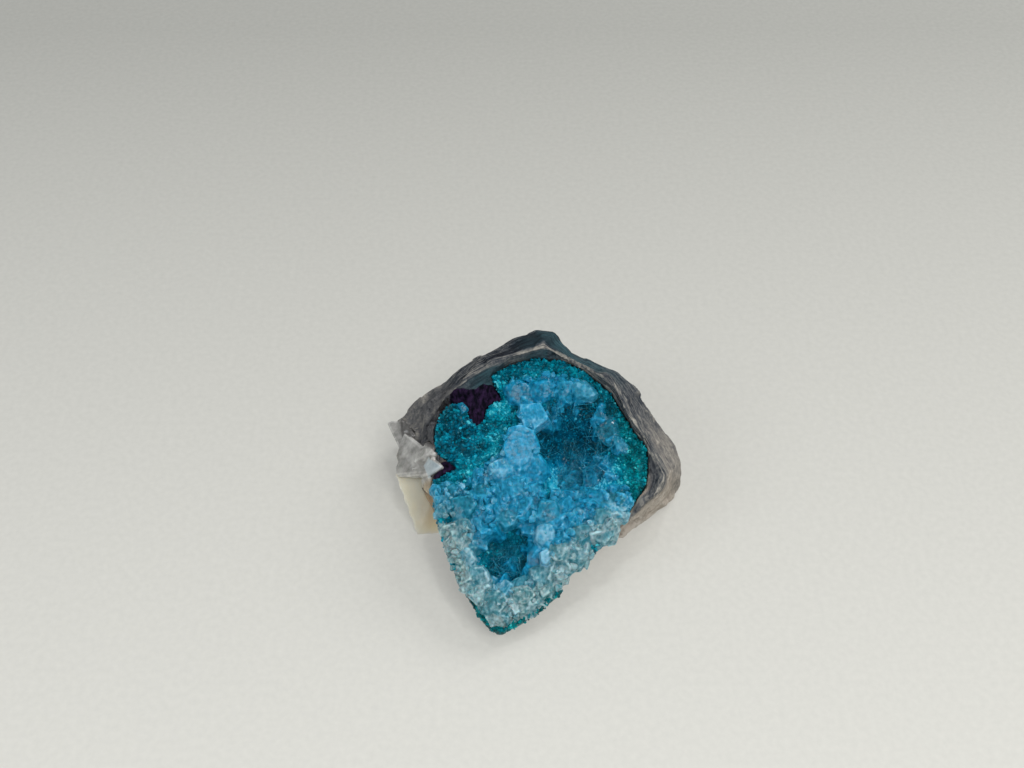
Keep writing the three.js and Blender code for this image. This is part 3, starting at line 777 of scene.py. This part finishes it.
def quartz_point():
    """A short six-sided prism under three wide and three narrow sloping faces."""
    planes = [((0, 0, -1), 0.4)]
    for k in range(6):
        angle = math.radians(60 * k + draws.normal(0, 4))
        planes.append(((math.cos(angle), math.sin(angle), 0), draws.uniform(0.7, 1)))
        tip = draws.uniform(0.75, 1) if k % 2 else draws.uniform(0.95, 1.5)
        slope = (math.sin(POINT_SLOPE) * math.cos(angle), math.sin(POINT_SLOPE) * math.sin(angle))
        planes.append(((*slope, math.cos(POINT_SLOPE)), tip * math.cos(POINT_SLOPE)))
    normals = np.array([plane[0] for plane in planes])
    reaches = np.array([plane[1] for plane in planes])
    corners = []
    for chosen in itertools.combinations(range(len(planes)), 3):
        chosen = list(chosen)
        if abs(np.linalg.det(normals[chosen])) < 1e-3:
            continue
        corner = np.linalg.solve(normals[chosen], reaches[chosen])
        if (normals @ corner <= reaches + 1e-6).all():
            corners.append(corner)
    return hull_of(corners)


def quartz_block(outline, rise):
    """A crystal with broad worn faces, or plain ones if it rises far, and steep sides."""
    worn = rise < SMOOTH_BLOCK
    places = np.array(outline) * MM
    middle = places.mean(axis=0)
    if worn:
        between = (places + np.roll(places, -1, axis=0)) / 2 - middle
        between *= draws.uniform(1.02, 1.2, (len(between), 1))
        places = np.stack([places, middle + between], axis=1).reshape(-1, 2)
    foot = crust_tree.ray_cast(face_point(*middle, ABOVE_FACE), -OUT_OF_FACE)[0]
    floor = face_coordinates(np.array([foot]))[0, 2]
    tilt = draws.uniform(-0.22, 0.22, 2)
    corners = []
    for place in places:
        offset = place - middle
        top = floor + rise * MM + offset @ tilt + draws.uniform(-0.12, 0.12) * MM
        corners += [
            face_point(*(middle + offset * (0.82 if worn else 0.95)), top),
            face_point(*(middle + offset * 1.1), floor + 0.3 * rise * MM),
            face_point(*(middle + offset * 0.9), floor - 0.5 * MM),
        ]
    for end in draws.choice(len(places), 3, replace=False) if worn else ():
        offset = (places[end] - middle) * 0.5
        peak = floor + (rise + draws.uniform(0.1, 0.45)) * MM + offset @ tilt
        corners.append(face_point(*(middle + offset), peak))
    return hull_of(corners)


def in_crevice(places):
    """1 in the gap between the ridge and the deep hollow, 0 away from it."""
    return fading(np.abs(beside(CREVICE, places)[0]), 0.3, 1.1)


def quartz_colour(places):
    """How pale the quartz is, and how green, at places on the face."""
    ridge = hollow(places, (-3.4, 4), 6.5, 10)
    top = hollow(places, (2.6, 15.2), 9, 3.4)
    deep = hollow(places, (6.6, 4), 9.6, 13)
    low_hollow = hollow(places, (-4.6, -14.5), 6.5, 6)
    rim = rising(-places[:, 1], 4, 10) * fading(within(QUARTZ_EDGE, places), 2.5, 6)
    left = rising(-places[:, 0], 8, 13) * rising(-places[:, 1], 0, 4)
    floor_blue = hollow(places, (8, -0.5), 9, 6)
    pale = 0.59 + 0.08 * ridge - 0.06 * top - 0.24 * deep - 0.26 * low_hollow + 0.28 * rim
    # The gap between the ridge and the deep hollow is darker: painted shade in the crevice.
    pale = pale + 0.12 * floor_blue - 0.25 * in_crevice(places)
    green = np.clip(0.08 + 0.7 * rim + 0.15 * left - 0.5 * low_hollow, 0, 1)
    return pale, green


def in_quartz(places, inset, margin, lowest_rise):
    """Which places lie on the quartz, off its gap and the middles of the higher blocks."""
    clear_of_blocks = np.ones(len(places), bool)
    for outline, rise, _, _ in BLOCKS:
        if rise >= lowest_rise:
            loop = np.array([*outline, outline[0]]) * MM
            clear_of_blocks &= within(loop, places) < margin
    return (within(QUARTZ_EDGE, places) > inset) & clear_of_blocks & (in_crevice(places) < 0.7)


medium = scattered(MEDIUM_SPACING)
medium = medium[in_quartz(medium, 0.45 * MM, 0.5 * MM, 0)]
medium = medium[draws.random(len(medium)) > 0.95 * in_hollows(medium)]
companions = np.array([
    np.mean(outline, axis=0) * 0.18 + np.array(outline[k]) * 0.82
    for outline, rise, _, _ in BLOCKS if rise < SMOOTH_BLOCK
    for k in draws.choice(len(outline), COMPANIONS, replace=False)
]) * MM
medium = np.vstack([medium, companions])


def grown_points(tree, places, radii):
    """Points of quartz on a surface at places on the face, with their colours."""
    kept, roots, outward = grown_on(tree, places)
    places, radii = places[kept], radii[kept]
    count = len(kept)
    lengths = radii * draws.uniform(1, 1.6, count)
    rotations = turned_to(outward + draws.normal(0, QUARTZ_SPREAD, (count, 3)))
    pale, green = quartz_colour(places)
    pale = pale + draws.normal(0, 0.07, count)
    groups, pales, greens = [], [], []
    for form in range(POINT_FORMS):
        corners, faces = quartz_point()
        same = np.arange(count) % POINT_FORMS == form
        sizes = np.stack([radii[same], radii[same], lengths[same]], axis=1)
        groups.append(copies((corners, faces), roots[same], rotations[same], sizes))
        pales.append(np.repeat(pale[same], len(corners)))
        greens.append(np.repeat(green[same], len(corners)))
    return groups, pales, greens


medium_radii = draws.uniform(*MEDIUM_RADIUS, len(medium))
medium_radii *= 1 + 0.3 * rising(-medium[:, 1], 0, 6)
medium_radii = np.clip(within(QUARTZ_EDGE, medium) + 0.8 * MM, 0.5 * MM, medium_radii)
groups, pales, greens = grown_points(crust_tree, medium, medium_radii)
for outline, rise, block_pale, block_green in BLOCKS:
    corners, faces = quartz_block(outline, rise)
    groups.append((corners, faces))
    pales.append(np.full(len(corners), block_pale + draws.normal(0, 0.03)))
    greens.append(np.full(len(corners), block_green))
loose_pale, loose_green = np.concatenate(pales), np.concatenate(greens)
first_corners = np.array([face[0] for face in faces_of(joined_mesh("loose", groups))])
nearest_face = tree_over(*groups).find_nearest
fused_mesh = evened_mesh("fused", groups, QUARTZ_GRAIN, QUARTZ_ROUNDING)
fused_points, fused_normals = vertices_of(fused_mesh)
fused_points += fused_normals * (0.04 * MM * drift(fused_points, 0.6 * MM, 2))[:, None]
u, v, w = face_coordinates(fused_points).T
at_rim = fading(within(QUARTZ_EDGE, np.stack([u, v], axis=1)), 1.5, 2.5)
sunk = np.maximum(RIM_UNDERSIDE - w, 0) * at_rim * rising(-v, 10, 13)
fused_points += np.outer(sunk, FACE_NORMAL)
moved(fused_mesh, fused_points)
# How far the fused quartz bulges marks its outlines, which the material makes paler and milkier:
# partly frost, partly a painted glow.
fused_outline_frost_and_glow = rising(bulge(fused_mesh, 1), 0.004, 0.03)
nearest = first_corners[[nearest_face(Vector(point))[2] for point in fused_points]]
fused = (fused_points, faces_of(fused_mesh))
grown_tree = tree_over(fused, solid_of("dioptase_crust"))
small = scattered(SMALL_SPACING)
small = small[in_quartz(small, -0.1 * MM, 0.3 * MM, SMOOTH_BLOCK)]
low_place = in_quartz(small, -0.2 * MM, 0.1 * MM, 0)
share = np.where(low_place, 0.55, 0.16) - 0.65 * in_hollows(small)
chosen = draws.random(len(small)) < share
small_radii = draws.uniform(*SMALL_RADIUS, len(small)) * np.where(low_place, 1.35, 1)
groups, pales, greens = grown_points(grown_tree, small[chosen], small_radii[chosen])
groups = [fused, *groups]
pales = [loose_pale[nearest], *(values + 0.08 for values in pales)]
greens = [loose_green[nearest], *greens]

needle_places = np.vstack([
    draws.normal((6.5, 3.8), (4.2, 5), (NEEDLES[0], 2)),
    draws.normal((-4.6, -14.6), (2.4, 2.6), (NEEDLES[1], 2)),
]) * MM
needle_places = needle_places[in_quartz(needle_places, 0, 0.1 * MM, 0.9)]
needle_places = needle_places[in_hollows(needle_places) > 0.35]
roots = grown_on(grown_tree, needle_places)[1]
roots = roots[face_coordinates(roots)[:, 2] < -1.2 * MM]
count = len(roots)
needle = (
    np.array([(1, 0, 0), (-0.5, 0.87, 0), (-0.5, -0.87, 0), (0.4, 0, 1), (-0.2, 0.35, 1),
              (-0.2, -0.35, 1)]),
    [(2, 1, 0), (3, 4, 5), (0, 1, 4, 3), (1, 2, 5, 4), (2, 0, 3, 5)],
)
leans = draws.normal(0, 0.7, (count, 3))
leans -= np.outer(leans @ FACE_NORMAL, FACE_NORMAL)
leans /= np.linalg.norm(leans, axis=1)[:, None]
leans += NEEDLE_LEAN * FACE_NORMAL
thickness = draws.uniform(*NEEDLE_THICKNESS, count)
sizes = np.stack([thickness, thickness, draws.uniform(*NEEDLE_LENGTH, count)], axis=1)
groups.append(copies(needle, roots, turned_to(leans), sizes))
pales.append(np.repeat(draws.uniform(0.25, 0.7, count), len(needle[0])))
greens.append(np.full(count * len(needle[0]), 0.1))

quartz_mesh = joined_mesh("quartz", groups)
quartz_mesh.shade_smooth()
quartz_mesh.set_sharp_from_angle(angle=QUARTZ_SHARP)
rim = np.zeros(len(quartz_mesh.vertices))
rim[:len(fused_outline_frost_and_glow)] = fused_outline_frost_and_glow
painted(quartz_mesh, pale=np.concatenate(pales), green=np.concatenate(greens), rim=rim)

quartz = new_material("druse_quartz")
quartz_place = quartz.place()
veils = quartz_place.grains(480, 5, 0.65)
wisps = quartz_place.stretched(1, 0.4, 1.5).grains(1500, 3, 0.6)
facets = quartz.node(
    "ShaderNodeTexVoronoi", {"feature": "F1"}, {"Vector": quartz_place, "Scale": 1500}, "Distance")
# Along the outlines the quartz is paler and milkier: partly frost, partly a painted glow.
outline_frost_and_glow = quartz.value("rim") * (0.1 + veils * 0.9) * (0.5 + quartz.value("green"))
pale_here = (
    quartz.value("pale") + outline_frost_and_glow * 0.3 + (veils - 0.5) * 0.6 + (wisps - 0.5) * 0.45
    + (facets - 0.45) * 0.35)
cold_tones = pale_here.toned(
    (0, (0, 0.06, 0.12)),
    (0.25, (0.001, 0.14, 0.25)),
    (0.5, (0.004, 0.26, 0.46)),
    (0.75, (0.018, 0.38, 0.66)),
    (1, (0.2, 0.58, 0.82)),
)
green_tones = pale_here.toned(
    (0, (0, 0.08, 0.1)),
    (0.25, (0.001, 0.16, 0.2)),
    (0.5, (0.025, 0.28, 0.32)),
    (0.75, (0.16, 0.42, 0.45)),
    (1, (0.52, 0.7, 0.7)),
)
milk_colour = quartz.value("green").mixed(cold_tones, green_tones)
quartz_normal = quartz.bumped(wisps * 0.5 + veils * 0.5 + facets * 0.7, 0.12 * MM)
clear_shader = quartz.surface({
    "Base Color": (0.45, 0.87, 0.96, 1),
    "Roughness": 0.08 + veils * 0.14,
    "IOR": QUARTZ_IOR,
    "Specular IOR Level": 0.3,
    "Transmission Weight": 1,
    "Normal": quartz_normal,
})
milky_shader = quartz.surface({
    "Base Color": milk_colour,
    "Roughness": 0.28 + veils * 0.16,
    "IOR": QUARTZ_IOR,
    "Specular IOR Level": 0.16,
    "Specular Tint": (0.6, 0.95, 1, 1),
    "Subsurface Weight": 0.5,
    "Subsurface Radius": (0.3, 0.8, 1),
    "Subsurface Scale": 0.6 * MM,
    "Normal": quartz_normal,
})
quartz_shader = quartz.node("ShaderNodeMixShader", {}, {
    0: (0.72 + outline_frost_and_glow * 0.4 + (wisps - 0.5) * 0.9 - quartz.value("green") * 0.3).between(0, 1),
    1: clear_shader,
    2: milky_shader,
})
placed("quartz", quartz_mesh, quartz_shader, "quartz_druse")

# ---- Pale quartz crystals ----
# A knot of smoky quartz crystals, blocky and only half clear, grown into each other. It is
# rooted in the rock's left side and stands out of it, with worn corners and a broken end.
KNOT_GRAIN = 0.14 * MM
KNOT_ROUNDING = 3
THIN_CRYSTAL = [
    (-25.9, 15, 8.6), (-25.2, 15.3, 8.8), (-23.8, 14.9, 9), (-21.6, 15, 9), (-21.6, 12.5, 9.2),
    (-23.6, 9.9, 8), (-25, 15, 6.8), (-21.6, 15, 6), (-21, 12, 5.6), (-23.2, 10.4, 6),
]
UPPER_CRYSTAL = [
    (-22.7, 12, 9.3), (-20.6, 8.6, 10.8), (-18.5, 5.5, 12.3), (-17, 3, 13), (-23.6, 9.9, 8),
    (-24, 8.4, 7.4), (-23.7, 7.4, 7.1), (-20, 4.6, 9.4), (-22, 9, 4.6), (-20, 11.5, 4.6),
    (-17, 11, 5), (-15.6, 6, 9),
]
LOWER_CRYSTAL = [
    (-23.6, 7.4, 7.3), (-24, 6.4, 6.8), (-23.9, 5.2, 6.4), (-23.5, 4.7, 6.2), (-21.4, 3.9, 7),
    (-19.3, 2.6, 8.5), (-17.7, 1.3, 11), (-16.6, 0.9, 12.5), (-15.6, 1, 13.3), (-18.5, 5.2, 12.2),
    (-21.6, 8, 9), (-21.5, 7, 4.4), (-17, 8, 5), (-15, 4, 8),
]
FOOT_CRYSTAL = [
    (-19.4, 2.7, 7.6), (-18.9, 2.2, 5.9), (-18, 0.4, 7), (-17.4, 0.3, 7.2), (-17.6, 1, 9.6),
    (-17.6, 1.9, 10.4), (-18.4, 2.4, 10.4), (-19, 4.5, 6.4), (-17, 4, 6), (-16.6, 3, 9),
]
# The facet where a glint lies, which the material makes bluish and clearer: partly a frosted face,
# partly a painted highlight.
WHITE_FACET = np.array([
    (-18.8, 2.1), (-17.9, 3), (-17.3, 2.4), (-15.6, 0.9), (-16.6, 0.4), (-18, 0), (-18.8, 2.1),
]) * MM
SHADED_SIDE = np.array([
    (-23.8, 12.6), (-23.4, 9.6), (-22.9, 8.6), (-22.6, 9.7), (-20.3, 7.2), (-17.1, 3.8),
    (-15.3, 1.2), (-13, 3), (-14, 12), (-19, 16), (-23.8, 16), (-23.8, 12.6),
]) * MM
BROKEN_AT = np.array((-23.5, 4.7, 6.2)) * MM
BROKEN_SIDE = np.array((0.2, -0.86, -0.46))
knot_forms = (THIN_CRYSTAL, UPPER_CRYSTAL, LOWER_CRYSTAL, FOOT_CRYSTAL)
knot = [hull_of(np.array(form) * MM) for form in knot_forms]
cad_points, cad_faces = solid_of("pale_quartz_crystals")
cad_points[:, 0] = np.maximum(cad_points[:, 0], BROKEN_AT[0])
over = np.maximum((cad_points - BROKEN_AT) @ BROKEN_SIDE, 0)
knot.append((cad_points - over[:, None] * BROKEN_SIDE, cad_faces))
pale_mesh = evened_mesh("pale_quartz", knot, KNOT_GRAIN, KNOT_ROUNDING)
pale_points, pale_normals = vertices_of(pale_mesh)
rock_tree = tree_over(solid_of("host_rock"))
by_rock = fading(gap_to(rock_tree, pale_points), 0.35, 0.8)
pale_lift = 0.02 * MM + 0.2 * MM * by_rock + 0.015 * MM * drift(pale_points, 2.4 * MM)
pale_points += pale_normals * pale_lift[:, None]
pale_points[:, 2] = np.maximum(pale_points[:, 2], 0)
moved(pale_mesh, pale_points)
pale_places = face_coordinates(pale_points)[:, :2]
painted(
    pale_mesh,
    frost=rising(within(WHITE_FACET, pale_places), -0.1, 0.1),
    shaded=rising(within(SHADED_SIDE, pale_places), 0, 0.3),
    tan=rising(-pale_places[:, 1], -0.4, 0.8),
    edge=rising(bulge(pale_mesh, 3), 0.001, 0.006))

pale = new_material("smoky_quartz")
pale_place = pale.place()
pale_veils = pale_place.grains(300, 4, 0.6)
# Convex edges are lighter: a painted highlight along them.
pale_grey = (pale_veils.between(0.3, 0.7) * 0.7 + pale.value("edge") * 0.5).mixed(
    (0.33, 0.328, 0.315, 1), (0.66, 0.65, 0.62, 1))
pale_grey = pale.value("tan").mixed(pale_grey, (0.5, 0.41, 0.29, 1))
pale_grey = pale.value("shaded").mixed(pale_grey, (0.17, 0.165, 0.16, 1))
# This facet colour is partly a frosted face and partly a painted highlight.
frost_and_glint_colour = pale_veils.between(0.35, 0.65).mixed((0.3, 0.36, 0.39, 1), (0.54, 0.6, 0.62, 1))
pale_grey = pale.value("frost").mixed(pale_grey, frost_and_glint_colour)
pale_normal = pale.bumped(pale_place.grains(700, 3, 0.55), 0.05 * MM)
pale_body = pale.surface({
    "Base Color": pale_grey, "Roughness": 0.22, "IOR": QUARTZ_IOR, "Specular IOR Level": 0.4,
    "Subsurface Weight": 0.8, "Subsurface Radius": (1, 1, 1), "Subsurface Scale": 2 * MM,
    "Normal": pale_normal,
})
pale_clear = pale.surface({
    "Base Color": (0.8, 0.8, 0.78, 1), "Roughness": 0.18, "IOR": QUARTZ_IOR,
    "Transmission Weight": 1, "Normal": pale_normal,
})
pale_shader = pale.node("ShaderNodeMixShader", {}, {
    0: pale_veils.between(0.1, 0.7) + pale.value("frost"), 1: pale_clear, 2: pale_body,
})
placed("pale_quartz", pale_mesh, pale_shader, "pale_quartz_crystals")

# ---- Calcite slab ----
# A block of calcite split along its cleavage, wedged against the rock under the pale
# crystals. It is tan and satin, and stained orange towards the vug, where its colour is also
# painted lighter against the crust's shade.
SLAB_GRAIN = 0.14 * MM
SLAB_ROUNDING = 1
LAYER_SPACING, LAYER_STEP = 1.1 * MM, 0.14 * MM
SLAB_FACE = [(-23.9, 5.2, 6), (-15.8, 4.6, 7.2), (-14.6, -2.4, 0), (-20.1, -2.9, 0)]
SLAB_REAR = [(-23.1, 12.2, 4.8), (-15.2, 12.6, 5.2), (-13.8, 4.6, 0), (-19.3, 4.1, 0)]
slab_form = hull_of(np.array(SLAB_FACE + SLAB_REAR) * MM)
slab_mesh = evened_mesh("calcite", [slab_form], SLAB_GRAIN, SLAB_ROUNDING)
slab_points, slab_normals = vertices_of(slab_mesh)
layers = np.abs(np.mod(slab_points[:, 2] + 0.3 * slab_points[:, 0], LAYER_SPACING) / MM - 0.55)
slab_lift = 0.02 * MM + 0.04 * MM * drift(slab_points, 2.2 * MM)
slab_lift += LAYER_STEP * (layers > 0.3) * smooth(-slab_normals[:, 0], 0.4, 0.8)
slab_points += slab_normals * slab_lift[:, None]
slab_points[:, 2] = np.maximum(slab_points[:, 2], 0)
moved(slab_mesh, slab_points)
# The slab is lighter and more orange towards the vug: a real stain, and also painted light against
# the crust's shade.
painted(slab_mesh, stain=rising(slab_points[:, 0], -20.5, -15.5))

slab = new_material("cleaved_calcite")
slab_place = slab.place()
slab_cloud = slab_place.grains(260, 4, 0.6)
slab_colour = (slab.value("stain") + (slab_cloud - 0.5) * 0.6).mixed(
    (0.6, 0.57, 0.46, 1), (1, 0.84, 0.58, 1))
slab_shader = slab.surface({
    "Base Color": slab_colour,
    "Roughness": 0.3 + slab_cloud * 0.25,
    "IOR": 1.6,
    "Subsurface Weight": 0.8,
    "Subsurface Radius": (1, 0.85, 0.7),
    "Subsurface Scale": 3 * MM,
    "Normal": slab.bumped(slab_place.stretched(1, 0.3, 1).grains(900, 3, 0.5), 0.1 * MM),
})
placed("calcite", slab_mesh, slab_shader, "calcite_slab")

# ---- Studio ----
# A pale paper floor, painted lighter towards the camera and glowing a little as painted
# light, under soft light from the front, the back and the left, and a camera that looks
# down on the specimen at 46 degrees.
LAMP_TARGET = Vector((0, 0, 0.01))
CAMERA_PLACE = (-0.0040006, -0.1385416, 0.1774604)
CAMERA_TILT = math.radians(44)
FILM_WIDTH, LENS_LENGTH = 36, 45.703125
bpy.ops.mesh.primitive_plane_add(size=6)
floor = bpy.context.object
floor.name = "floor"
paper = new_material("paper")
paper_place = paper.place()
paper_rows = paper.node("ShaderNodeSeparateXYZ", {}, {0: paper_place}, "Y")
# The paper is lighter towards the camera, a painted pool of light, over a faint grain; the same tone
# sets its glow, which is painted light.
paper_grain_and_light = 0.2 * paper_place.grains(900, 2, 0.5) + 0.8 * paper_rows.between(0.16, -0.08)
paper_shader = paper.surface({
    "Base Color": paper_grain_and_light.mixed((0.17, 0.172, 0.16, 1), (0.47, 0.466, 0.437, 1)),
    "Roughness": 0.9,
    "Specular IOR Level": 0.1,
    "Emission Color": paper_grain_and_light.mixed((0.7, 0.7, 0.66, 1), (1, 0.985, 0.92, 1)),
    "Emission Strength": 0.3,
})
paper.node("ShaderNodeOutputMaterial", {}, {"Surface": paper_shader})
floor.data.materials.append(paper.material)

world = bpy.data.worlds.new("soft_light")
world.use_nodes = True
sky = world.node_tree.nodes["Background"]
sky.inputs["Color"].default_value = (0.93, 0.97, 1, 1)
sky.inputs["Strength"].default_value = 0.28
bpy.context.scene.world = world

for name, place, size, power, color in (
    ("front_lamp", (0.26, -0.36, 0.56), 0.35, 2.4, (1, 0.985, 0.955)),
    ("back_lamp", (0.42, 0.34, 0.42), 0.35, 2.2, (1, 0.99, 0.97)),
    ("side_lamp", (-0.5, -0.2, 0.4), 0.3, 1.15, (0.95, 0.98, 1)),
    ("glint_lamp", (0.06, 0.12, 0.6), 0.03, 0.4, (1, 1, 1)),
):
    light = bpy.data.lights.new(name, "AREA")
    light.size = size
    light.energy = power
    light.color = color
    lamp = added(name, light)
    lamp.location = place
    lamp.rotation_euler = (LAMP_TARGET - Vector(place)).to_track_quat("-Z", "Y").to_euler()

camera_data = bpy.data.cameras.new("camera")
camera_data.sensor_width = FILM_WIDTH
camera_data.lens = LENS_LENGTH
camera_data.clip_start = 0.01
camera_data.clip_end = 20
camera = added("camera", camera_data)
camera.location = CAMERA_PLACE
camera.rotation_euler = (CAMERA_TILT, 0, 0)
bpy.context.scene.camera = camera
bpy.context.scene.view_settings.view_transform = "Standard"
